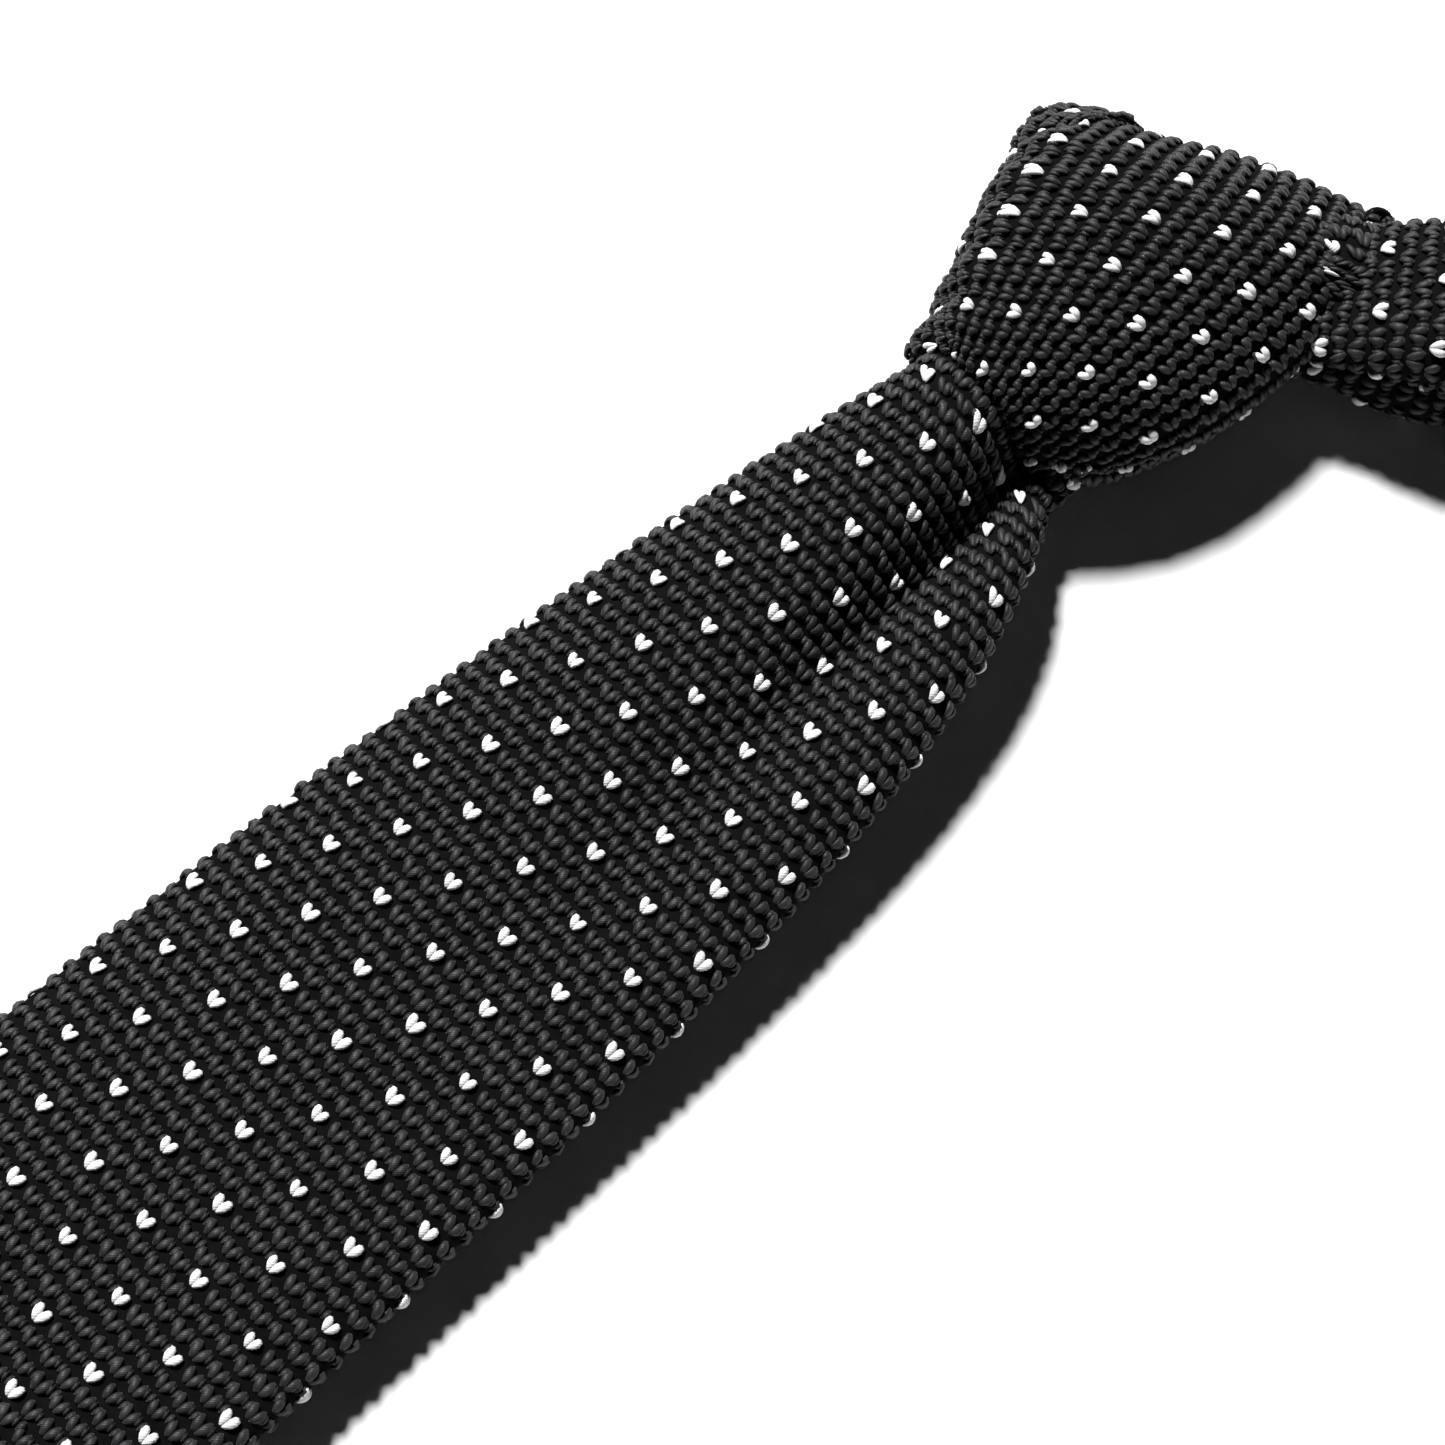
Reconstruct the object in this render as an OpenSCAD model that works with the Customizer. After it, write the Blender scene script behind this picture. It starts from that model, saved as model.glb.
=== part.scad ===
// Knitted necktie, tied in a four-in-hand knot and laid flat, front face up.
// Millimetres. +Z up, front blade along -Y, neck loop towards +X and +Y, origin at the knot's resting face.

/* [Front blade] */
// Length of the front blade below the knot
blade_length = 450; // [380:10:520]
// Width of the front blade at its square end
blade_width = 60; // [50:1:70]
// Width of the front blade where it leaves the knot
blade_mouth_width = 24; // [18:1:28]
// Thickness of the folded knit
knit_thickness = 4.4; // [3.6:0.1:4.6]

/* [Tail] */
// Length of the tail below the knot
tail_length = 300; // [260:5:310]
// Width of the tail at its square end
tail_width = 38; // [30:1:38]

/* [Knot] */
// Thickness of the knot from its back to its front face
knot_thickness = 27; // [27:0.5:30]
// Thickness of one pass of fabric in the knot
pass_thickness = 5; // [4:0.1:5]

// How far the top and bottom edges of the front wrap curve down
wrap_sag = 2.2; // [0:0.1:2.2]

/* [Neck loop] */
// Width of the arms where they leave the knot
arm_width = 20; // [16:1:20]
// Thickness of one arm inside the knot
arm_thickness = 4.5; // [3.5:0.1:4.5]
// Radius of the collar band at its middle line
collar_radius = 54; // [48:1:60]
// Distance from the fold of the arms to the centre of the collar band
collar_distance = 100; // [90:1:120]
// Height of the collar band standing on its edge
band_width = 27.4; // [24:0.2:28]
// Thickness of the collar band
band_thickness = 5.4; // [4.6:0.2:6]

/* [Small pieces] */
// Width of the keeper loop across the back of the blade
keeper_width = 18; // [12:1:24]
// Distance of the keeper loop below the knot
keeper_distance = 210; // [180:5:230]
// Thickness of the keeper loop, labels and hems
tape_thickness = 0.8; // [0.6:0.1:0.8]
// Height of a sewn seam above the fabric
seam_height = 0.6; // [0.4:0.1:0.6]

/* [Output] */
// Piece to draw

/* [Hidden] */
$fn = 48;

black_knit = [0.09, 0.09, 0.10];
black_tape = [0.14, 0.14, 0.15];
black_thread = [0.18, 0.18, 0.19];
white_label = [0.90, 0.90, 0.88];

// Corners of the knot seen from the front: two at the mouth, two at the top
mouth_left = [-9.7, -29.6];
mouth_right = [15.7, -24.2];
top_right = [18, 29];
top_left = [-24, 1.5];

// Plane in which the front blade leaves the knot
mouth_y = -30.5;

// Direction of the arms, and the direction to their left
arm_angle = 34;
arm_dir = [cos(arm_angle), sin(arm_angle), 0];
arm_left = [-sin(arm_angle), cos(arm_angle), 0];
// Point of the arms' middle line from which distances along the arms are counted
arm_start = [30, 22.5, 0];
// Distance along the arms at which the neck loop folds up
fold_at = 8;
// Half angle between the two arms of the loop, where they run straight into the collar curve
half_angle = asin(collar_radius / collar_distance);
straight = sqrt(collar_distance * collar_distance - collar_radius * collar_radius);
collar_centre = arm_start + (fold_at + collar_distance) * arm_dir;

// Heights of the layers
front_z = knot_thickness - pass_thickness / 2;
tail_arm_z = 7.65;
blade_arm_z = 12.55;
final_z = 17.5;
tail_z = 1.8 + (knit_thickness - 0.4) / 2;
blade_z = 6.8 + knit_thickness / 2;
tip_z = tape_thickness + 0.1 + knit_thickness / 2;

// Points of one section of a band: centre p, half width vector w, half thickness vector n, and how far the edges sag
corner_x = [1, -1, -1, 1];
corner_y = [1, 1, -1, -1];
function section(p, w, n, sag) =
  let (hw = norm(w), ht = norm(n), r = 0.9 * min(hw, ht))
  [for (c = [0:3]) for (k = [0:4])
    let (a = corner_x[c] * (hw - r) + r * cos(90 * c + 22.5 * k))
    p + w / hw * a
      + n / ht * (corner_y[c] * (ht - r) + r * sin(90 * c + 22.5 * k) - sag * a * a / hw / hw)];

// A closed band through a list of sections, each [centre, half width vector, half thickness vector]; s[3] is the sag
module band(stations) {
  n = 20;
  last = len(stations) - 1;
  points = [for (s = stations) each section(s[0], s[1], s[2], len(s) > 3 ? s[3] : 0)];
  sides = [for (i = [0:last - 1]) for (k = [0:n - 1])
    let (a = i * n + k, b = i * n + (k + 1) % n)
    each [[a, a + n, b + n], [a, b + n, b]]];
  first_cap = [for (k = [0:n - 1]) k];
  last_cap = [for (k = [n - 1:-1:0]) last * n + k];
  polyhedron(points = points, faces = concat([first_cap], sides, [last_cap]), convexity = 6);
}

// Value at x in a table of [x, value] pairs, straight between them
function at(x, t) = lookup(x, t);

// Distances below the mouth at which the blade and the tail are shaped
blade_steps = [0, 5, 16, 28, 42, 56, 71, 88, 105, 126, 148, 180, keeper_distance, 260, 300, 325, 340, 356, 372, 400, blade_length];
tail_steps = [0.4, 8, 20, 32, 45, 58, 70, 110, 160, keeper_distance, 260, tail_length];

// Middle line of the front blade: it leaves the knot to one side and swings back
blade_mid_x = [[0, 2.6], [16, 4.2], [42, 5], [71, 4.6], [105, 3.4], [148, 1.4], [180, 0], [520, 0]];

// Half widths of the front blade, from the gathered mouth to the flat end
blade_half = [[0, blade_mouth_width / 2], [5, 13], [16, 17], [28, 19.2], [42, 21.2], [56, 23.4], [71, 25.4], [105, 27], [148, 28.8], [260, blade_width / 2 - 0.4], [400, blade_width / 2], [520, blade_width / 2]];
blade_half_thick = [[0, 4.8], [5, 4.5], [16, 3.8], [42, 3.1], [71, 2.6], [105, knit_thickness / 2 + 0.1], [148, knit_thickness / 2], [520, knit_thickness / 2]];
blade_mid_z = [[0, 16.2], [5, 16.1], [16, 15.6], [42, 13.8], [71, 12], [105, 10.4], [148, 9.2], [180, blade_z], [325, blade_z], [372, tip_z], [520, tip_z]];

tail_half = [[0, 9.5], [20, 11], [45, 12.5], [70, 14], [160, 16.5], [260, tail_width / 2 - 0.5], [310, tail_width / 2]];
tail_half_thick = [[0, 2.3], [45, 2.1], [70, knit_thickness / 2 - 0.2], [310, knit_thickness / 2 - 0.2]];
tail_mid_z = [[0, 8], [20, 6.8], [45, 5], [70, tail_z], [310, tail_z]];

// Knot ------------------------------------------------------------------------------------------

module knot_outline(inset) {
  offset(r = 5) offset(delta = -5 - inset)
    polygon([mouth_left, mouth_right, top_right, top_left]);
}

module knot_back_pass() {
  color(black_knit)
    linear_extrude(pass_thickness) knot_outline(2.2);
}

module knot_tail_strand() {
  color(black_knit)
    translate([0, 0, tail_arm_z - arm_thickness / 2])
      linear_extrude(arm_thickness)
        offset(r = 2) offset(delta = -2)
          polygon([[-9, 4.5], [1.5, -7], [10, -20], [9.5, -29.4], [-7, -29.4], [-11.5, -12]]);
}

module knot_first_pass() {
  color(black_knit)
    translate([0, 0, blade_arm_z - arm_thickness / 2])
      linear_extrude(arm_thickness)
        offset(r = 2) offset(delta = -2)
          polygon([[-18, -3], [-11, 5.5], [1, -7], [11, -20], [10.5, -22.5], [-7, -24.5], [-12, -17]]);
}

// The pass that comes up behind the top edge, folds over it and runs down to the mouth
module knot_final_pass() {
  foot = arm_start - 16.5 * arm_dir + (arm_width / 2 + 2.9) * arm_left;
  side = 7.5 * arm_dir;
  out = 2.3 * arm_left;
  color(black_knit)
    band([
      [foot + [0, 0, 3], side, out],
      [foot + [0, 0, 9], side, out],
      [foot + [0, 0, 13.6], side, out],
      [foot + [0, 0, 15.9] - 0.5 * arm_left, side, 0.9 * out + [0, 0, 0.9]],
      [foot + [0, 0, 17.1] - 1.9 * arm_left, side * 1.05, 0.55 * out + [0, 0, 1.9]],
      [foot + [0, 0, final_z] - 4 * arm_left, side * 1.1, 0.12 * out + [0, 0, 2.25]],
      [[6.6, 15, final_z], [8.6, 2.4, 0], [0, 0, 2.3]],
      [[4.6, 4, final_z], [10, 0.5, 0], [0, 0, 2.3]],
      [[3.5, -12, final_z], [11.4, 0, 0], [0, 0, 2.3]],
      [[2.6, -22, final_z], [11.6, 0, 0], [0, 0, 2.3]],
      [[2.4, -29.4, final_z - 0.9], [11, 1, 0], [0, 0, 2.2]]
    ]);
}

// The visible face of the knot, with both sides turned down to the back pass
module knot_front_wrap() {
  left_mid = (mouth_left + top_left) / 2;
  left_half = (top_left - mouth_left) / 2;
  left_out = [-left_half[1], left_half[0]] / norm(left_half);
  right_mid = (mouth_right + top_right) / 2;
  right_half = (top_right - mouth_right) / 2;
  t = pass_thickness / 2;
  low = pass_thickness + 0.3;
  function across(q) = left_mid * (1 - q) + right_mid * q;
  function half(q) = left_half * (1 - q) + right_half * q;
  function flat(v, z) = [v[0], v[1], z];
  color(black_knit)
    band(concat(
      [
        [flat(left_mid + 0.4 * left_out, low), flat(left_half * 0.82, 0), flat(left_out, 0) * 2.2],
        [flat(left_mid + 1.2 * left_out, 10), flat(left_half * 0.86, 0), flat(left_out, 0) * 2.3],
        [flat(left_mid + 1.4 * left_out, 16), flat(left_half * 0.9, 0), flat(left_out, 0) * 2.4],
        [flat(left_mid + 0.9 * left_out, 20.5), flat(left_half * 0.95, 0), flat(left_out * 0.9, 0.45) * t],
        [flat(left_mid - 1.2 * left_out, 23.3), flat(left_half, 0), flat(left_out * 0.5, 0.86) * t, 1.2]
      ],
      [for (q = [0.12, 0.24, 0.36, 0.48, 0.6, 0.72, 0.84])
        [flat(across(q), front_z), flat(half(q), 0), [0, 0, t], wrap_sag]],
      [
        [[15.6, 2.4, front_z - 0.3], flat(right_half, 0), [0.5, 0, 0.86] * t, wrap_sag],
        [[17.8, 0.4, front_z - 2.2], [1.2, 24.2, 0], [0.8, 0, 0.6] * t, 1],
        [[18.6, -6.4, front_z - 5.6], [0.6, 17.2, 0], [1, 0, 0.15] * t * 0.92],
        [[18.6, -11.9, front_z - 10], [0.4, 11.6, 0], [t * 0.9, 0, 0]],
        [[18.2, -12.1, 10], [0.4, 11.2, 0], [t * 0.88, 0, 0]],
        [[17.4, -12.1, low], [0.4, 10.8, 0], [t * 0.86, 0, 0]]
      ]
    ));
}

// Front blade -----------------------------------------------------------------------------------

function blade_low(d) = at(d, blade_mid_z) - at(d, blade_half_thick);
function tail_low(d) = at(d, tail_mid_z) - at(d, tail_half_thick);

module front_blade() {
  color(black_knit)
    band([for (d = blade_steps)
      [[at(d, blade_mid_x), mouth_y - d, at(d, blade_mid_z)], [at(d, blade_half), 0, 0], [0, 0, at(d, blade_half_thick)]]]);
}

module front_blade_hem() {
  color(black_knit)
    translate([-blade_width / 2 + 2, mouth_y - blade_length + 0.6, 0])
      cube([blade_width - 4, 12, tape_thickness]);
}

module front_blade_seam() {
  color(black_thread)
    band([for (d = [8, 16, 28, 42, 56, 71, 88, 105, 126, 148, 180, 260, 325, 340, 356, 372, blade_length - 16])
      [[0, mouth_y - d, blade_low(d) - seam_height / 2], [1.1, 0, 0], [0, 0, seam_height / 2]]]);
}

module front_blade_bar_tack() {
  color(black_thread)
    translate([-4, mouth_y - blade_length + 13, tip_z - knit_thickness / 2 - seam_height])
      cube([8, 1.6, seam_height]);
}

// A strip sewn across the back of the blade, with room for the tail to slide through
module keeper_loop() {
  inside = tail_width / 2 + 2;
  top = blade_z - knit_thickness / 2;
  color(black_tape)
    translate([0, mouth_y - keeper_distance + keeper_width / 2, 0])
      rotate([90, 0, 0])
        linear_extrude(keeper_width) {
          translate([-inside - tape_thickness, 0])
            square([2 * inside + 2 * tape_thickness, tape_thickness]);
          for (s = [-1, 1])
            scale([s, 1]) {
              translate([inside, 0])
                square([tape_thickness, top]);
              translate([inside, top - tape_thickness])
                square([4.4, tape_thickness]);
            }
        }
}

module keeper_loop_tacks() {
  color(black_thread)
    for (s = [-1, 1])
      translate([s * (tail_width / 2 + 4.8) - 0.5, mouth_y - keeper_distance - 6, blade_z - knit_thickness / 2 - tape_thickness - 0.5])
        cube([1, 12, 0.5]);
}

module care_label() {
  color(white_label)
    translate([4, mouth_y - keeper_distance - 44, blade_z - knit_thickness / 2 - 0.3])
      cube([18, 28, 0.3]);
}

module care_label_stitches() {
  color(black_thread)
    for (i = [0:5])
      translate([4.7 + 3 * i, mouth_y - keeper_distance - 17.2, blade_z - knit_thickness / 2 - 0.5])
        cube([1.6, 0.5, 0.2]);
}

// Tail ------------------------------------------------------------------------------------------

module tail_blade() {
  color(black_knit)
    band([for (d = tail_steps)
      [[0, mouth_y - d, at(d, tail_mid_z)], [at(d, tail_half), 0, 0], [0, 0, at(d, tail_half_thick)]]]);
}

module tail_hem() {
  color(black_knit)
    translate([-tail_width / 2 + 2, mouth_y - tail_length + 0.6, 1.8 - seam_height])
      cube([tail_width - 4, 10, seam_height]);
}

module tail_seam() {
  color(black_thread)
    band([for (d = [8, 20, 32, 45, 58, 70, 160, tail_length - 14])
      [[0, mouth_y - d, tail_low(d) - seam_height / 2], [0.9, 0, 0], [0, 0, seam_height / 2]]]);
}

module tail_bar_tack() {
  color(black_thread)
    translate([-3, mouth_y - tail_length + 11, 1.8 - seam_height])
      cube([6, 1.6, seam_height]);
}

// Neck loop -------------------------------------------------------------------------------------

// Arm end: thin inside the knot, full outside it; z_in and z_out are its middle heights
module arm_end(z_in, z_out) {
  color(black_knit)
    band([for (s = [[-28, 0], [1, 0], [3.2, 0.55], [5.4, 1], [fold_at - 0.5, 1]])
      [arm_start + s[0] * arm_dir + [0, 0, z_in + s[1] * (z_out - z_in)],
       arm_width / 2 * arm_left,
       [0, 0, arm_thickness / 2 + s[1] * (5.3 - arm_thickness / 2)]]]);
}

module blade_side_arm_end() {
  arm_end(blade_arm_z, 18.4);
}

module tail_side_arm_end() {
  arm_end(tail_arm_z, 6.8);
}

// Arm of the loop: s is 1 for the left arm and -1 for the right one. Each row of steps is distance, height, turn,
// half width and half thickness; the arm leaves the knot flat and turns to stand on its edge.
module loop_arm(s, steps) {
  a = arm_angle + s * half_angle;
  along = [cos(a), sin(a), 0];
  left = [-sin(a), cos(a), 0];
  start = arm_start + fold_at * arm_dir;
  color(black_knit)
    band([for (k = steps)
      let (heading = k[0] < 1 ? arm_left : left)
      [start + k[0] * along + [0, 0, k[1]],
       k[3] * (cos(k[2]) * heading + s * sin(k[2]) * [0, 0, 1]),
       k[4] * (-s * sin(k[2]) * heading + cos(k[2]) * [0, 0, 1])]]);
}

half_band = band_width / 2;
half_band_thick = band_thickness / 2;

module blade_side_arm() {
  loop_arm(1, [[0.5, 18.4, 0, arm_width / 2, 5.3], [10, 18.4, 4, 10, 5.3], [20, 18.3, 12, 10, 5], [28, 17.4, 26, 10.4, 4.6], [36, 16.4, 42, 11, 4.1], [46, 15.2, 62, 12, 3.5], [58, 14.2, 78, 13, 3], [68, 13.8, 88, half_band - 0.2, half_band_thick], [straight - 2.6, half_band, 90, half_band, half_band_thick]]);
}

module tail_side_arm() {
  loop_arm(-1, [[0.5, 6.8, 0, arm_width / 2, 5.3], [10, 6.8, 4, 10, 5.3], [20, 7.6, 12, 10, 5], [28, 9.4, 26, 10.4, 4.6], [36, 11, 42, 11, 4.1], [46, 12.6, 62, 12, 3.5], [58, 13.5, 78, 13, 3], [68, 13.7, 88, half_band - 0.2, half_band_thick], [straight - 2.6, half_band, 90, half_band, half_band_thick]]);
}

module join_seam(s) {
  a = arm_angle + s * half_angle;
  along = [cos(a), sin(a), 0];
  left = [-sin(a), cos(a), 0];
  start = arm_start + fold_at * arm_dir;
  color(black_thread)
    band([for (d = [straight - 2.4, straight - 0.4])
      [start + d * along + [0, 0, half_band], s * half_band * [0, 0, 1], -s * (half_band_thick + 0.5) * left]]);
}

module blade_side_join_seam() {
  join_seam(1);
}

module tail_side_join_seam() {
  join_seam(-1);
}

// The collar runs from the end of one straight arm round the back of the neck to the other
collar_sweep = 180 + 2 * half_angle;
collar_from = arm_angle - 90 - half_angle;

module collar_profile() {
  translate([collar_radius - half_band_thick + 2, 2])
    offset(r = 2)
      square([band_thickness - 4, band_width - 4]);
}

module collar_band() {
  color(black_knit)
    translate(collar_centre)
      rotate([0, 0, collar_from])
        difference() {
          rotate_extrude(angle = collar_sweep, $fn = 96) collar_profile();
          translate([0, 0, half_band - 6.4])
            rotate_extrude($fn = 96)
              translate([collar_radius - 0.7, 0])
                square([1.4, 12.8]);
        }
}

module collar_stay_tape() {
  color(black_tape)
    translate(collar_centre + [0, 0, half_band - 6])
      rotate([0, 0, collar_from + 1])
        rotate_extrude(angle = collar_sweep - 2, $fn = 96)
          translate([collar_radius - 0.4, 0])
            square([0.8, 12]);
}

knot_back_pass();
knot_first_pass();
knot_tail_strand();
knot_final_pass();
knot_front_wrap();
front_blade();
front_blade_hem();
front_blade_seam();
front_blade_bar_tack();
keeper_loop();
keeper_loop_tacks();
care_label();
care_label_stitches();
tail_blade();
tail_hem();
tail_seam();
tail_bar_tack();
blade_side_arm_end();
tail_side_arm_end();
blade_side_arm();
collar_band();
tail_side_arm();
collar_stay_tape();
blade_side_join_seam();
tail_side_join_seam();
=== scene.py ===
"""A black knitted necktie with small white V stitches, tied in a four-in-hand knot and laid flat on a pale floor.

Shapes are worked out from the CAD nodes' boxes. Inside this script lengths are in millimetres; objects are in metres.
"""

import math

import bpy
import numpy as np
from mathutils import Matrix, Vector


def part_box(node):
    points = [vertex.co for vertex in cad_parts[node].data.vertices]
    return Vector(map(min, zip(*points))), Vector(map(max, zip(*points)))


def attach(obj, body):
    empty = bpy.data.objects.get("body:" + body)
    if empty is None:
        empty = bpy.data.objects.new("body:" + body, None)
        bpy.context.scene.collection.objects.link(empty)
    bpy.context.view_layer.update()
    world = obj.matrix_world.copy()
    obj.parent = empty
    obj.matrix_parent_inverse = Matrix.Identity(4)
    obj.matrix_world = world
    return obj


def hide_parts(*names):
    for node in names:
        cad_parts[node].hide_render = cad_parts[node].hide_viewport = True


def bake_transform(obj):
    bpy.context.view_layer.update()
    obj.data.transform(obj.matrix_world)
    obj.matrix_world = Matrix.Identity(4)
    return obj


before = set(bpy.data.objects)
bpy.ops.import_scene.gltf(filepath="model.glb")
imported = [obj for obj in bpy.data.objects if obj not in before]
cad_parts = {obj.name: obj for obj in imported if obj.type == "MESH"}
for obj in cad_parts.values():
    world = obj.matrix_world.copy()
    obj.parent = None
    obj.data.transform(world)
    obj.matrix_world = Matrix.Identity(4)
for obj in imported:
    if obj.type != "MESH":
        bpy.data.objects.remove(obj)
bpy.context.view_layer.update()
rng = np.random.default_rng(11)
MM = 0.001

# Pitch of the knit: columns of stitches across the fabric, and rows along it
WALE, COURSE = 2.95, 2.3
# A white stitch stands in every third column of every third row
WHITE_EVERY = 3
# Half of the room that a stitch needs above the fabric's body
PILE = 0.4


def box(node):
    """Lowest and highest corners of a CAD node at rest, in millimetres."""
    return [np.array(corner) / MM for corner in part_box(node)]


# ------------------------------------------------------------------------------------------------
# Curves


def smooth(table, x):
    """A smooth curve through the rows of table, whose first column is x: one value or vector per x."""
    t = np.asarray(table, float)
    xs, ys = t[:, 0], t[:, 1:]
    slope = np.gradient(ys, xs, axis=0)
    x = np.clip(np.atleast_1d(np.asarray(x, float)), xs[0], xs[-1])
    i = np.clip(np.searchsorted(xs, x) - 1, 0, len(xs) - 2)
    h = (xs[i + 1] - xs[i])[:, None]
    u = (x - xs[i])[:, None] / h
    y = (1 + 2 * u) * (1 - u) ** 2 * ys[i] + u * (1 - u) ** 2 * h * slope[i]
    y += u * u * (3 - 2 * u) * ys[i + 1] + u * u * (u - 1) * h * slope[i + 1]
    return y[:, 0] if y.shape[1] == 1 else y


def rise(x, a, b):
    """0 up to a, 1 from b on, and an easy curve between."""
    u = np.clip((np.asarray(x, float) - a) / (b - a), 0, 1)
    return u * u * (3 - 2 * u)


def opened(d, start, end, length):
    """From start at the knot towards end, as a gathered fabric opens out."""
    return end - (end - start) * np.exp(-np.maximum(d, 0) / length)


def relaxed(d, length):
    """1 at the knot, falling softly to 0, as a stiff fabric comes to rest."""
    d = np.maximum(d, 0)
    return (1 + d / length) * np.exp(-d / length)


def closing(d, length, thick):
    """Half thickness of a piece that is rounded off where it ends at d = length."""
    past = np.clip(d - (length - thick), 0, thick) / thick
    return thick * np.sqrt(np.maximum(1 - past**2, 0.05))


def rounded(path, thick):
    """Half thickness along a piece that is rounded off at both of its ends."""
    s = np.concatenate([[0], np.cumsum(np.linalg.norm(np.diff(path, axis=0), axis=1))])
    past = np.clip(1 - np.minimum(s, s[-1] - s) / thick, 0, 1)
    return thick * np.sqrt(np.maximum(1 - past**2, 0.05))


def reach(curl, power):
    """The share of a fabric's half width seen from above when its edge turns down by curl."""
    tau = np.linspace(0, 1, 25)[:, None]
    return np.cos(np.atleast_1d(curl) * tau**power).mean(0)


def unit(a):
    return a / np.maximum(np.linalg.norm(a, axis=-1, keepdims=True), 1e-9)


# ------------------------------------------------------------------------------------------------
# Meshes


def new_mesh(name, points, loops, sizes, material, uv):
    """A smooth-shaded object from points in millimetres and polygons given as one list of corners."""
    me = bpy.data.meshes.new(name)
    me.vertices.add(len(points))
    me.vertices.foreach_set("co", (np.asarray(points) * MM).astype(np.float32).ravel())
    me.loops.add(len(loops))
    me.loops.foreach_set("vertex_index", np.asarray(loops, np.int32))
    me.polygons.add(len(sizes))
    starts = np.concatenate([[0], np.cumsum(sizes)[:-1]]).astype(np.int32)
    me.polygons.foreach_set("loop_start", starts)
    me.polygons.foreach_set("use_smooth", np.ones(len(sizes), bool))
    me.uv_layers.new(name="yarn").data.foreach_set("uv", np.asarray(uv, np.float32).ravel())
    me.update(calc_edges=True)
    me.validate()
    me.materials.append(material)
    ob = bpy.data.objects.new(name, me)
    bpy.context.scene.collection.objects.link(ob)
    return ob


def many(name, points, template, material):
    """One object with the template's faces repeated, at points of shape (copies, template points, 3)."""
    shape, faces = template
    corners = np.concatenate(faces)
    loops = (np.arange(len(points))[:, None] * len(shape) + corners).ravel()
    sizes = np.tile([len(f) for f in faces], len(points))
    uv = np.tile(shape[corners, :2], (len(points), 1))
    return new_mesh(name, points.reshape(-1, 3), loops, sizes, material, uv)


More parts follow.
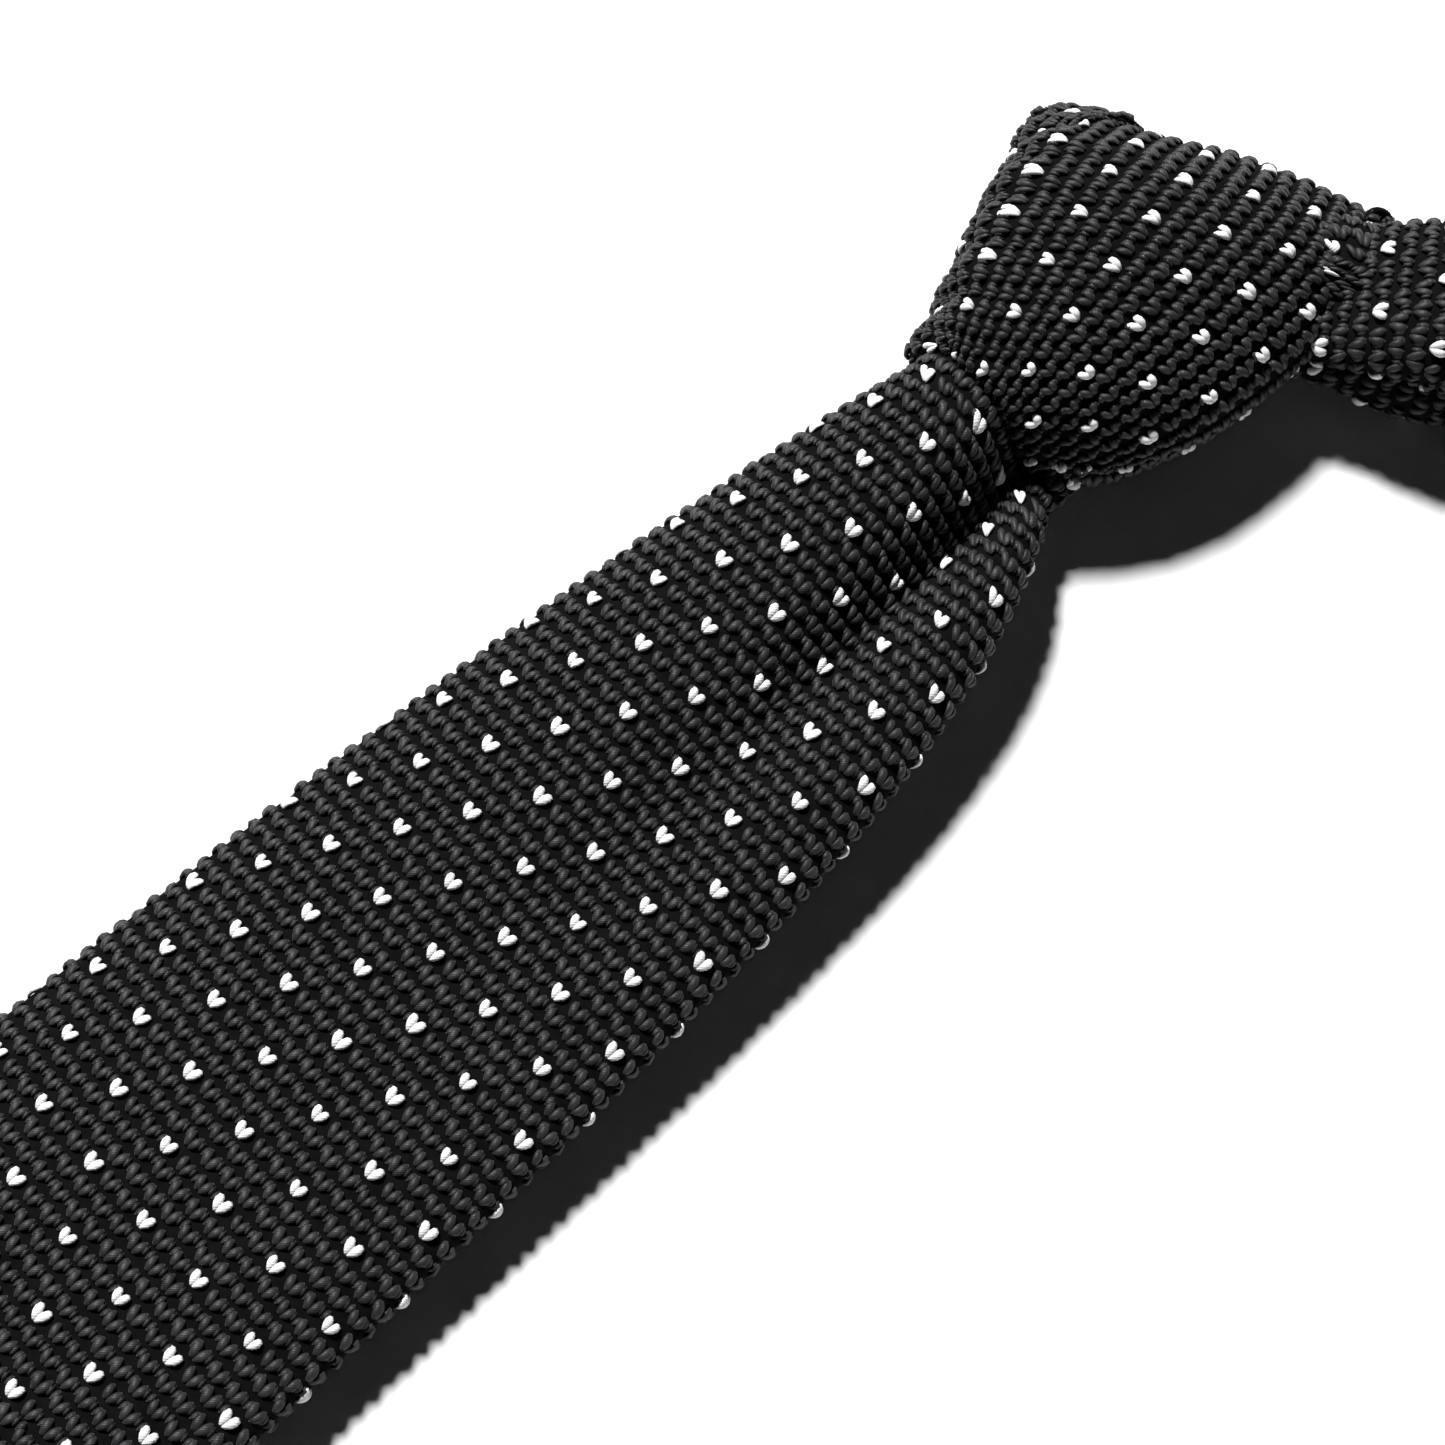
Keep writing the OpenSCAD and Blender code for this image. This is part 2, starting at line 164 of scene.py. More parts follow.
class Cloth:
    """A flat knitted tube along a path, with its folded edges. s runs along it and v round it, in
    millimetres of fabric. v is 0 at the middle of the front, or at the front's right edge, and the ring
    of points at each station is cut at the middle of the back, where the seam is. half, curl and power
    are pairs: the half width, how far the edge turns down, and how late, on the left and the right."""

    SPAN = 30  # points across each half

    def __init__(self, path, across, half, curl, power, thick, dent=None, anchor="middle", step=1.2):
        length = np.concatenate([[0], np.cumsum(np.linalg.norm(np.diff(path, axis=0), axis=1))])
        count = max(4, int(round(length[-1] / step)) + 1)
        self.s = np.linspace(0, length[-1], count)
        self.ds = self.s[1]

        def spread(values, columns=1):
            a = np.broadcast_to(np.asarray(values, float).reshape(-1, columns), (len(length), columns))
            return np.stack([np.interp(self.s, length, a[:, c]) for c in range(columns)], 1)

        path = spread(path, 3)
        w = unit(spread(across, 3))
        up = unit(np.cross(unit(np.gradient(path, axis=0)), w))
        half, curl, power = ([spread(side) for side in pair] for pair in (half, curl, power))
        ht = spread(thick)
        self.rings, front = self.ring_points(path, w, up, half, curl, power, ht, dent)
        steps = np.linalg.norm(np.diff(self.rings, axis=1), axis=2)
        v = np.concatenate([np.zeros((count, 1)), np.cumsum(steps, 1)], 1)
        self.v = v - v[:, [front + (2 if anchor == "right" else 1) * self.SPAN]]
        self.front = (self.v[:, front], self.v[:, front + 2 * self.SPAN])
        self.make_grid()

    def ring_points(self, path, w, up, half, curl, power, ht, dent):
        """The closed rings, from the middle of the back round the left edge, the front and the right."""
        n = self.SPAN
        tau = np.linspace(-1, 1, 2 * n + 1)
        turn = np.where(tau < 0, curl[0] * np.abs(tau) ** power[0], -curl[1] * np.abs(tau) ** power[1])
        run = np.where(tau[1:] <= 0, half[0], half[1]) / (2 * n)
        zero = np.zeros((len(path), 1))
        x, z = (
            np.concatenate([zero, np.cumsum((f[:, 1:] + f[:, :-1]) * run, 1)], 1)
            for f in (np.cos(turn), np.sin(turn))
        )
        x -= x[:, [n]]
        z -= z[:, [n]]
        if dent is not None:
            z = z + dent(self.s[:, None], x)
        angle = np.arctan2(np.gradient(z, axis=1), np.gradient(x, axis=1))
        nx, nz = -np.sin(angle) * ht, np.cos(angle) * ht
        phi = np.radians(np.linspace(90, -90, 9))[None, 1:-1]

        def edge(i, side, phi):
            tx, tz = np.cos(angle[:, [i]]) * side * ht, np.sin(angle[:, [i]]) * side * ht
            ex = x[:, [i]] + np.cos(phi) * tx + np.sin(phi) * nx[:, [i]]
            ez = z[:, [i]] + np.cos(phi) * tz + np.sin(phi) * nz[:, [i]]
            return ex, ez

        lx, lz = edge(0, -1, phi[:, ::-1])
        rx, rz = edge(2 * n, 1, phi)
        ring_x = np.concatenate([(x - nx)[:, n::-1], lx, x + nx, rx, (x - nx)[:, : n - 1 : -1]], 1)
        ring_z = np.concatenate([(z - nz)[:, n::-1], lz, z + nz, rz, (z - nz)[:, : n - 1 : -1]], 1)
        rings = path[:, None] + w[:, None] * ring_x[..., None] + up[:, None] * ring_z[..., None]
        return rings, n + 1 + phi.shape[1]

    def make_grid(self):
        """Points and normals at an even spacing of v, to set stitches by."""
        lap = 7  # points carried past the cut, so that stitches can lie across it
        girth = self.v[:, -1:] - self.v[:, :1]
        v = np.concatenate([self.v[:, -1 - lap : -1] - girth, self.v, self.v[:, 1 : 1 + lap] + girth], 1)
        rings = np.concatenate([self.rings[:, -1 - lap : -1], self.rings, self.rings[:, 1 : 1 + lap]], 1)
        self.dv, self.v0 = 0.55, v.min()
        even = np.arange(self.v0, v.max() + self.dv, self.dv)
        self.grid = np.stack(
            [
                [np.interp(even, row, ring[:, c], left=np.nan, right=np.nan) for c in range(3)]
                for row, ring in zip(v, rings)
            ]
        ).transpose(0, 2, 1)
        self.normals = unit(np.cross(np.gradient(self.grid, axis=0), np.gradient(self.grid, axis=1)))

    def sample(self, s, v):
        """Points and outward normals at places s, v on the fabric, NaN far past the ring's cut."""
        a = np.clip(s / self.ds, 0, len(self.s) - 1.001)
        b = (v - self.v0) / self.dv
        last = self.grid.shape[1] - 1.001
        outside = (b < 0) | (b > last)
        b = np.clip(b, 0, last)
        i, j = a.astype(int), b.astype(int)
        a, b = (a - i)[..., None], (b - j)[..., None]
        out = []
        for g in (self.grid, self.normals):
            near = g[i, j] * (1 - b) + g[i, j + 1] * b
            far = g[i + 1, j] * (1 - b) + g[i + 1, j + 1] * b
            p = near * (1 - a) + far * a
            p[outside] = np.nan
            out.append(p)
        return out[0], unit(out[1])

    def base(self, name, material, s0=0.0, s1=None):
        """The closed body of the fabric between two places along it."""
        i0 = int(round(s0 / self.ds))
        i1 = len(self.s) - 1 if s1 is None else int(round(s1 / self.ds))
        rings = self.rings[i0 : i1 + 1, :-1]
        n, m = rings.shape[:2]
        i, k = np.meshgrid(np.arange(n - 1), np.arange(m), indexing="ij")
        rows = np.stack([i, i + 1, i + 1, i], -1)
        cols = np.stack([k, k, k + 1, k + 1], -1)
        r = np.arange(m)
        after = (r + 1) % m
        first = np.stack([np.full(m, n * m), r, after], -1)
        last = np.stack([np.full(m, n * m + 1), (n - 1) * m + after, (n - 1) * m + r], -1)
        points = np.concatenate([rings.reshape(-1, 3), rings[[0, -1]].mean(1)])
        loops = np.concatenate([(rows * m + cols % m).ravel(), first.ravel(), last.ravel()])
        sizes = np.concatenate([np.full(rows[..., 0].size, 4), np.full(2 * m, 3)])
        uv = np.stack([self.v[i0 + rows, cols], self.s[i0 + rows]], -1).reshape(-1, 2)
        uv = np.concatenate([uv, np.zeros((6 * m, 2))])
        return new_mesh(name, points, loops, sizes, material, uv)


# ------------------------------------------------------------------------------------------------
# Yarn and stitches


def lobe(path, widths, heights, sides):
    """One fat length of yarn with pointed ends: path rows are across, along, height."""
    p = np.asarray(path, float)
    t = unit(np.gradient(p[:, :2], axis=0))
    side = np.stack([t[:, 1], -t[:, 0]], 1)
    angles = np.arange(sides) * 2 * math.pi / sides
    points = [p[0]]
    for i in range(1, len(p) - 1):
        for a in angles:
            flat = p[i, :2] + side[i] * math.cos(a) * widths[i]
            points.append([*flat, p[i, 2] + math.sin(a) * heights[i]])
    points.append(p[-1])
    rows = len(p) - 2
    end = 1 + (rows - 1) * sides
    faces = []
    for k in range(sides):
        k2 = (k + 1) % sides
        faces.append([0, 1 + k2, 1 + k])
        for a in range(1, end, sides):
            faces.append([a + k, a + k2, a + sides + k2, a + sides + k])
        faces.append([len(points) - 1, end + k, end + k2])
    return np.array(points), faces


def joined(parts):
    """Several templates as one."""
    points, faces, n = [], [], 0
    for p, f in parts:
        points.append(p)
        faces += [[i + n for i in face] for face in f]
        n += len(p)
    return np.concatenate(points), faces


def legs(path, width, flat, sides, shift=(0, 0, 0)):
    """Two mirrored legs of yarn, which make the V of one knitted stitch."""
    made = [lobe(np.array(path) * [m, 1, 1], width, np.array(width) * flat, sides) for m in (-1, 1)]
    return [(points + shift, faces) for points, faces in made]


# Legs of one stitch: across, along, height
BLACK_LEG = [
    (0.60, -1.12, -0.15),
    (0.66, -0.82, 0.18),
    (0.60, -0.35, 0.38),
    (0.42, 0.18, 0.38),
    (0.22, 0.68, 0.2),
    (0.07, 1.05, -0.12),
]
WHITE_LEG = [
    (0.58, -1.02, 0.0),
    (0.63, -0.80, 0.26),
    (0.58, -0.38, 0.46),
    (0.42, 0.08, 0.50),
    (0.23, 0.52, 0.36),
    (0.09, 0.86, 0.14),
    (0.03, 1.08, -0.1),
]
# The leg of the stitch that lies deeper, between two columns
SUNK_LEG = [(0.42, -1.0, -0.35), (0.47, -0.55, 0.10), (0.36, 0.05, 0.16), (0.14, 0.65, -0.3)]
# The black stitch of the fronts, with the deeper one beside it; the simpler one of the backs; the white one
FINE = joined(
    legs(BLACK_LEG, [0, 0.42, 0.54, 0.52, 0.38, 0], 0.62, 6)
    + legs(SUNK_LEG, [0, 0.44, 0.42, 0], 0.7, 4, (WALE / 2, -0.1, 0.1))
)
PLAIN = joined(legs([BLACK_LEG[k] for k in (0, 1, 3, 5)], [0, 0.38, 0.42, 0], 0.78, 5))
WHITE_V = joined(legs(WHITE_LEG, [0, 0.40, 0.50, 0.50, 0.40, 0.24, 0], 0.66, 8))


def thread_stitch(length, width, height):
    """One stitch of sewing thread that goes down at both ends."""
    path = [(0, -length / 2, -0.3), (0, -0.3 * length, height), (0, 0.3 * length, height), (0, length / 2, -0.3)]
    return lobe(path, [0, width, width, 0], [0, width, width, 0], 6)


def place(cloth, s, v, template, name, material, squeeze=None, angle=0.0):
    """One object with the template set at each fabric place s, v, each a little different."""
    shape = template[0]
    a, b, h = (shape[:, [c]].T for c in range(3))
    n = (len(s), 1)
    turn = rng.normal(angle, 0.05, n)
    grow = 1 + rng.normal(0, 0.04, n)
    aa = (a * np.cos(turn) - b * np.sin(turn)) * grow + rng.normal(0, 0.05, n)
    bb = (a * np.sin(turn) + b * np.cos(turn)) * grow + rng.normal(0, 0.06, n)
    hh = h * (1 + rng.normal(0, 0.06, n))
    if squeeze is not None:
        aa = aa * squeeze(s)[:, None]
    p, normal = cloth.sample(s[:, None] + bb, v[:, None] + aa)
    p = p + normal * hh[..., None]
    return many(name, p[~np.isnan(p).any((1, 2))], template, material)


def rows_along(cloth, first, near, far, over):
    """Where the rows of stitches lie along a piece: pitch near at its start, opening to far."""
    s = [first]
    while s[-1] < cloth.s[-1]:
        s.append(s[-1] + far - (far - near) * math.exp(-s[-1] / over))
    return s


def knit(cloth, name, s0=0.0, s1=None, rows=None, shift=0.0, squeeze=None):
    """The stitches of the fabric from s0 to s1: a staggered grid of black Vs with the white ones among
    them. squeeze(s) is how closely the fabric is gathered across at s."""
    edge = 0.8  # kept free of stitches at both ends of the cloth
    overlap = 2.4  # how far round the edges the finer stitches go
    rows = rows_along(cloth, 0.0, COURSE, COURSE, 1) if rows is None else rows
    s1 = cloth.s[-1] if s1 is None else s1
    cols = np.arange(-40, 41)
    groups = {"white": [], "front": [], "back": []}
    for i, s in enumerate(rows):
        if not max(s0, edge) <= s < min(s1, cloth.s[-1] - edge):
            continue
        v = shift + (cols + 0.5 * (i % 2)) * WALE
        if squeeze is not None:
            v = v * squeeze(np.array([s]))[0]
        k = min(int(round(s / cloth.ds)), len(cloth.s) - 1)
        keep = (v > cloth.v[k].min()) & (v < cloth.v[k].max() - 0.55 * WALE)
        turn = (i // WHITE_EVERY) % 2
        white = (i % WHITE_EVERY == 0) & ((cols - turn) % WHITE_EVERY == 0)
        front = (v > cloth.front[0][k] - overlap) & (v < cloth.front[1][k] + overlap)
        masks = {"white": keep & white, "front": keep & ~white & front, "back": keep & ~white & ~front}
        for label, mask in masks.items():
            groups[label].append(np.stack([np.full(mask.sum(), s), v[mask]], 1))
    looks = {"white": (WHITE_V, WHITE_YARN), "front": (FINE, BLACK), "back": (PLAIN, BLACK)}
    made = []
    for label, (template, material) in looks.items():
        at = np.concatenate(groups[label])
        if len(at):
            made.append(place(cloth, *at.T, template, f"{name}_{label}_stitches", material, squeeze))
    return made


def back_seam(cloth, name, s0, s1):
    """Slanting overcast stitches that close the fabric along the middle of its back."""
    s = np.arange(s0, s1, 2.2)
    v = np.interp(s, cloth.s, cloth.v[:, 0]) - 0.3
    return place(cloth, s, v, thread_stitch(2.4, 0.2, 0.45), name, THREAD, angle=0.6)


def threads(name, places, length, width, angle=0.0):
    """Short stitches of thread lying flat on the underside at x, y, z places, turned from the Y axis."""
    template = thread_stitch(length, width, -0.1)
    shape = template[0] * [1, 1, -1]
    shape[:, 2] = np.minimum(shape[:, 2], 0.2)
    turn = angle + rng.normal(0, 0.05, (len(places), 1))
    x = shape[:, 0] * np.cos(turn) - shape[:, 1] * np.sin(turn)
    y = shape[:, 0] * np.sin(turn) + shape[:, 1] * np.cos(turn)
    points = np.asarray(places, float)[:, None] + np.stack([x, y, np.broadcast_to(shape[:, 2], x.shape)], -1)
    return many(name, points, template, THREAD)


# ------------------------------------------------------------------------------------------------
# Materials


def surface(name, color, rough, gloss=0.3, sheen=0.0):
    """A new material and its main shader."""
    mat = bpy.data.materials.new(name)
    mat.use_nodes = True
    shader = mat.node_tree.nodes["Principled BSDF"]
    shader.inputs["Base Color"].default_value = (*color, 1)
    shader.inputs["Roughness"].default_value = rough
    shader.inputs["Specular IOR Level"].default_value = gloss
    shader.inputs["Sheen Weight"].default_value = sheen
    shader.inputs["Sheen Roughness"].default_value = 0.4
    return mat, shader


def bands(mat, direction, scale, distortion=0.0):
    """Stripes across the fabric's own coordinates, as the height of a bump."""
    nodes, links = mat.node_tree.nodes, mat.node_tree.links
    uv = nodes.new("ShaderNodeUVMap")
    uv.uv_map = "yarn"
    wave = nodes.new("ShaderNodeTexWave")
    wave.wave_type = "BANDS"
    wave.bands_direction = direction
    wave.inputs["Scale"].default_value = scale
    wave.inputs["Distortion"].default_value = distortion
    wave.inputs["Detail"].default_value = 1.0
    links.new(uv.outputs["UV"], wave.inputs["Vector"])
    return wave.outputs["Fac"]


def bump(mat, shader, height, strength):
    node = mat.node_tree.nodes.new("ShaderNodeBump")
    node.inputs["Strength"].default_value = strength
    node.inputs["Distance"].default_value = 0.00012
    mat.node_tree.links.new(height, node.inputs["Height"])
    mat.node_tree.links.new(node.outputs["Normal"], shader.inputs["Normal"])


def mottle(mat, shader, color, vary, scale=420):
    """Small changes of colour from place to place, as dyed yarn has."""
    nodes, links = mat.node_tree.nodes, mat.node_tree.links
    co = nodes.new("ShaderNodeTexCoord")
    noise = nodes.new("ShaderNodeTexNoise")
    noise.inputs["Scale"].default_value = scale
    noise.inputs["Detail"].default_value = 3
    links.new(co.outputs["Object"], noise.inputs["Vector"])
    ramp = nodes.new("ShaderNodeValToRGB")
    for element, position, sign in zip(ramp.color_ramp.elements, (0.3, 0.7), (-1, 1)):
        element.position = position
        element.color = (*[min(1, c * (1 + sign * vary)) for c in color], 1)
    links.new(noise.outputs["Fac"], ramp.inputs["Fac"])
    links.new(ramp.outputs["Color"], shader.inputs["Base Color"])


def yarn(name, color, rough, gloss, sheen, twist, vary):
    """Twisted yarn or thread, with its plies as slanting stripes."""
    mat, shader = surface(name, color, rough, gloss, sheen)
    bump(mat, shader, bands(mat, "DIAGONAL", twist, 1.2), 0.22)
    mottle(mat, shader, color, vary)
    return mat


def woven(name, color, rough, gloss, sheen, pitch, vary):
    """Plain weave: two crossing sets of threads, pitch millimetres apart."""
    mat, shader = surface(name, color, rough, gloss, sheen)
    scale = math.pi / 10 / pitch
    both = mat.node_tree.nodes.new("ShaderNodeMath")
    both.operation = "MAXIMUM"
    for socket, direction in zip(both.inputs, "XY"):
        mat.node_tree.links.new(bands(mat, direction, scale), socket)
    bump(mat, shader, both.outputs[0], 1.0)
    mottle(mat, shader, color, vary)
    return mat


def ground(name, color):
    """The matt inside of the knit, seen between the stitches; the colour it is given is painted shade, far darker
    than the yarn's.
    """
    mat, shader = surface(name, color, 0.9, 0.05)
    nodes, links = mat.node_tree.nodes, mat.node_tree.links
    co = nodes.new("ShaderNodeTexCoord")
    cells = nodes.new("ShaderNodeTexVoronoi")
    cells.inputs["Scale"].default_value = 900
    links.new(co.outputs["Object"], cells.inputs["Vector"])
    bump(mat, shader, cells.outputs["Distance"], 0.6)
    mottle(mat, shader, color, 0.3)
    return mat


BLACK = yarn("black_yarn", (0.024, 0.024, 0.025), 0.5, 0.32, 0.05, 2.4, 0.35)
WHITE_YARN = yarn("white_yarn", (0.86, 0.86, 0.85), 0.6, 0.3, 0.1, 1.6, 0.03)
THREAD = yarn("black_thread", (0.03, 0.03, 0.032), 0.45, 0.35, 0.0, 3.0, 0.2)
# Painted shade: the knit's inside takes the yarn's black darkened about six times, standing in for the shade in the
# holes between the stitches.
GROUND_PAINTED_SHADE = ground("black_knit_ground_painted_shade", (0.004, 0.004, 0.0042))
HEM = woven("black_hem_knit", (0.012, 0.012, 0.0125), 0.7, 0.15, 0.05, 1.2, 0.3)
TAPE = woven("black_tape", (0.014, 0.014, 0.015), 0.6, 0.2, 0.0, 0.8, 0.15)
LABEL = woven("label_satin", (0.78, 0.78, 0.76), 0.35, 0.5, 0.2, 0.22, 0.02)

# ------------------------------------------------------------------------------------------------
# Shapes. The frame is the CAD's: +Z up, blade along -Y, origin at the middle of the knot's back.

X, Y, Z = np.eye(3)
BLADE_LO, BLADE_HI = box("front_blade")
TAIL_LO, TAIL_HI = box("tail_blade")
KNOT_LO, KNOT_HI = box("knot_front_wrap")
COLLAR_LO, COLLAR_HI = box("collar_band")
MOUTH_Y = BLADE_HI[1]
BLADE_LENGTH = MOUTH_Y - BLADE_LO[1]
TAIL_LENGTH = MOUTH_Y - TAIL_LO[1]
INSIDE = 13.0  # how far the blade runs on inside the knot

# Half thickness of the fabric where it lies flat
BLADE_HT, TAIL_HT, BAND_HT, PASS_HT = 2.0, 1.6, 2.2, 1.8

# The blade lies on the keeper loop, and past the tail's end it sinks to its hem
BLADE_Z = box("keeper_loop")[1][2] + BLADE_HT
TIP_Z = box("front_blade_hem")[1][2] + PILE + BLADE_HT
TAIL_Z = box("tail_hem")[1][2] + PILE + TAIL_HT

# Corners of the knot seen from the front, on or near its box
MOUTH_LEFT = np.array([-9, KNOT_LO[1] + 1, 0])
MOUTH_RIGHT = np.array([KNOT_HI[0] - 1.5, KNOT_LO[1] + 1.5, 0])
TOP_RIGHT = np.array([KNOT_HI[0] + 1.5, KNOT_HI[1] + 0.5, 0])
TOP_LEFT = np.array([KNOT_LO[0] + 1.5, 8, 0])

# The neck loop: where its arms fold up, the way they point, and the collar's circle, as in part.scad
ARM_ANGLE = math.radians(34)
U = np.array([math.cos(ARM_ANGLE), math.sin(ARM_ANGLE), 0.0])
V = np.array([-U[1], U[0], 0.0])
ARM_START = np.array([30.0, 22.5, 0.0])
FOLD_AT = 8.0
HINGE = ARM_START + FOLD_AT * U
COLLAR_R, COLLAR_D = 54.0, 100.0
HALF_ANGLE = math.asin(COLLAR_R / COLLAR_D)
STRAIGHT = math.sqrt(COLLAR_D**2 - COLLAR_R**2)
COLLAR_CENTRE = HINGE + COLLAR_D * U
BAND_Z = COLLAR_HI[2] / 2
BAND_HALF = BAND_Z - BAND_HT - 2 * PILE
INSIDE_ARM = 34.0  # length of an arm from its end in the knot to the fold


def blade_cloth():
    """The front blade, from inside the knot to its square end. Its sides turn down near the knot."""
    d = np.linspace(-INSIDE, BLADE_LENGTH, 500)
    sink = rise(d, TAIL_LENGTH + 25, TAIL_LENGTH + 75)
    z = BLADE_Z + (BLADE_HI[2] - 3.5 - BLADE_Z) * relaxed(d, 30) - (BLADE_Z - TIP_Z) * sink
    path = np.stack([0 * d, MOUTH_Y - d, z], 1)
    near = np.maximum(d, 0)
    flat = 1 - 0.7 * rise(d, 120, 190)
    curl_left = np.radians((18 + 72 * np.exp(-near / 50)) * flat)
    curl_right = np.radians((18 + 45 * np.exp(-near / 45)) * flat)
    power = 2.2
    left = (opened(d, 7.5, -BLADE_LO[0] - 1, 85) - BLADE_HT) / reach(curl_left, power)
    right = (opened(d, 15, BLADE_HI[0] + 0.5, 27) - BLADE_HT) / reach(curl_right, power)

    def dent(s, x):
        """The dimple under the knot, running out into a shallow valley, and a slow ripple in the edges."""
        d = s - INSIDE
        near = np.maximum(d, 0)
        centre = 12 - 3 * np.exp(-near / 15)
        width = 4.5 + 0.05 * near
        dimple = 12 * np.exp(-near / 38) * np.exp(-(((x - centre) / width) ** 2))
        ripple = 0.5 * np.sin(s / 31 + 0.6) * (np.abs(x) / 29) ** 2 * rise(d, 70, 160) * (1 - rise(d, 280, 330))
        return ripple - dimple

    thick = closing(d, BLADE_LENGTH, BLADE_HT)
    return Cloth(path, X, (left, right), (curl_left, curl_right), (power, power), thick, dent, "right")


def tail_cloth():
    """The tail, from its square end up to the knot, so that the points of its stitches face the knot."""
    d = np.linspace(TAIL_LENGTH, -10, 360)
    path = np.stack([0 * d, MOUTH_Y - d, TAIL_Z + 3.5 * relaxed(d, 15)], 1)
    half = opened(d, 8.6, TAIL_HI[0] - TAIL_HT, 90)
    curl = np.radians(6 + 44 * np.exp(-np.maximum(d, 0) / 30))
    return Cloth(path, -X, (half, half), (curl, curl), (2, 2), closing(d, TAIL_LENGTH, TAIL_HT))


# The front wrap's course over the knot: how far it is from the knot's left side to its right, and the
# height of its middle line as a share of the knot's
WRAP_COURSE = [
    (0.16, 0.2),  # behind the left side
    (0.06, 0.5),  # left fold
    (0.09, 0.9),  # shoulder
    (0.22, 1.0),  # brow
    (0.50, 1.0),  # face, which falls away to the right
    (0.80, 0.8),
    (1.00, 0.5),  # right side
    (0.94, 0.2),  # turning under
]
MOUTH_TURN = (20, 55)  # how far the wrap turns down at its mouth edge, on the left and the right of the face
TOP_TURN = (75, 30)  # and at its top edge
HOLLOW = 8  # how far both edges stand up along the left fold
GATHER, GATHER_OVER = 0.4, 14.0  # how closely the wrap is gathered at its left side, and over what length
PLEAT, PLEAT_PITCH = 0.7, 6.5


def wrap_cloth():
    """The face of the knot: from the back on the left, over the front and down the right side."""
    t = np.linspace(0, len(WRAP_COURSE) - 1, 260)
    share, lift = smooth(np.column_stack([np.arange(len(WRAP_COURSE)), WRAP_COURSE]), t).T
    mouth = MOUTH_LEFT + share[:, None] * (MOUTH_RIGHT - MOUTH_LEFT)
    top = TOP_LEFT + share[:, None] * (TOP_RIGHT - TOP_LEFT)
    mouth = mouth + 6 * (1 - rise(lift, 0, 0.5))[:, None] * unit(top - mouth)
    path = (mouth + top) / 2 + (lift * (KNOT_HI[2] - PASS_HT))[:, None] * Z
    fold = np.exp(-(((t - 1) / 0.6) ** 2))
    curl = [
        np.radians((left + share * (right - left)) * rise(lift, 0, 0.5) * (1 - fold) - HOLLOW * fold)
        for left, right in (MOUTH_TURN, TOP_TURN)
    ]
    power = 1.5, 1.25
    thick = rounded(path, PASS_HT)
    span = np.linalg.norm(top - mouth, axis=1) / 2 - PASS_HT
    half = [span / reach(c, p) for c, p in zip(curl, power)]

    def pleats(s, x):
        """Gathers along the left side, fading over the face."""
        return PLEAT * np.exp(-(((s - GATHER_OVER) / 10) ** 2)) * np.cos(2 * math.pi * (x - 0.15 * s) / PLEAT_PITCH)

    return Cloth(path, top - mouth, half, curl, power, thick, pleats, step=0.9)


def gathered(s):
    return 1 - GATHER * np.exp(-np.clip(s - GATHER_OVER, 0, None) / GATHER_OVER)


# The arms' half width, half thickness and edge turn in degrees, inside the knot and at the fold
IN_HALF, IN_HT, IN_TURN = 8.0, 1.6, 35
FOLD_HALF, FOLD_HT = 8.4, 3.4
# The edge turn of the collar, and the length over which an arm comes to stand on its edge
BAND_TURN, STAND_OVER = 6, 72
# Height of each arm inside the knot and at the fold, and its edge turn at the fold
TAIL_SIDE = {"z_in": 7.8, "z_out": 6.8, "curl": 45}
BLADE_SIDE = {"z_in": 12.6, "z_out": 15.6, "curl": 50}


def final_pass_cloth():
    """The pass that comes up behind the knot's top edge beside the arms and runs in under the front wrap."""
    foot = ARM_START - 13 * U + 8 * V
    points = [foot + 4 * Z, foot + 9 * Z, foot + 12.5 * Z, foot - 2.5 * V + 14 * Z, foot - 7 * V + 14 * Z]
    points += [[6, 6, 15], [3, -10, 16], [2, -20, 16]]
    t = np.linspace(0, len(points) - 1, 160)
    path = smooth(np.column_stack([np.arange(len(points)), points]), t)
    across = unit(U + rise(t, 2, 6)[:, None] * (X - U))
    half = 6.0 + 1.5 * rise(t, 2, 6)
    curl = np.radians(50 - 35 * rise(t, 2, 6))
    return Cloth(path, across, (half, half), (curl, curl), (1.6, 1.6), rounded(path, PASS_HT), step=0.9)


def arm_points(d, side, at):
    """One arm from the fold, d along it: it leaves the knot flat and turns to stand on its edge. side is 1
    for the blade's arm and -1 for the tail's. Returns points, across, half width, half thickness, curl."""
    a = ARM_ANGLE + side * HALF_ANGLE
    ahead = np.array([math.cos(a), math.sin(a), 0])
    left = np.array([-math.sin(a), math.cos(a), 0])
    mix = np.clip(d / 12, 0, 1)[:, None]
    left = unit(V * (1 - mix) + left * mix)
    stand = rise(d, 0, STAND_OVER)
    turn = (stand * math.pi / 2)[:, None]
    z = at["z_out"] + (BAND_Z - at["z_out"]) * rise(d, 5, 62)
    points = HINGE + d[:, None] * ahead + z[:, None] * Z
    across = -side * np.cos(turn) * left - np.sin(turn) * Z
    half = FOLD_HALF + (BAND_HALF - FOLD_HALF) * stand
    thick = FOLD_HT + (BAND_HT - FOLD_HT) * stand
    return points, across, half, thick, at["curl"] + (BAND_TURN - at["curl"]) * stand


def arm_end_points(q, side, at):
    """The arm inside the knot and out to the fold, q from the fold: thin inside, full outside."""
    out = rise(q, -22, -6)
    points = HINGE + q[:, None] * U + (at["z_in"] + (at["z_out"] - at["z_in"]) * out)[:, None] * Z
    across = np.broadcast_to(-side * V, points.shape)
    half = IN_HALF + (FOLD_HALF - IN_HALF) * out
    thick = IN_HT + (FOLD_HT - IN_HT) * out
    return points, across, half, thick, IN_TURN + (at["curl"] - IN_TURN) * out


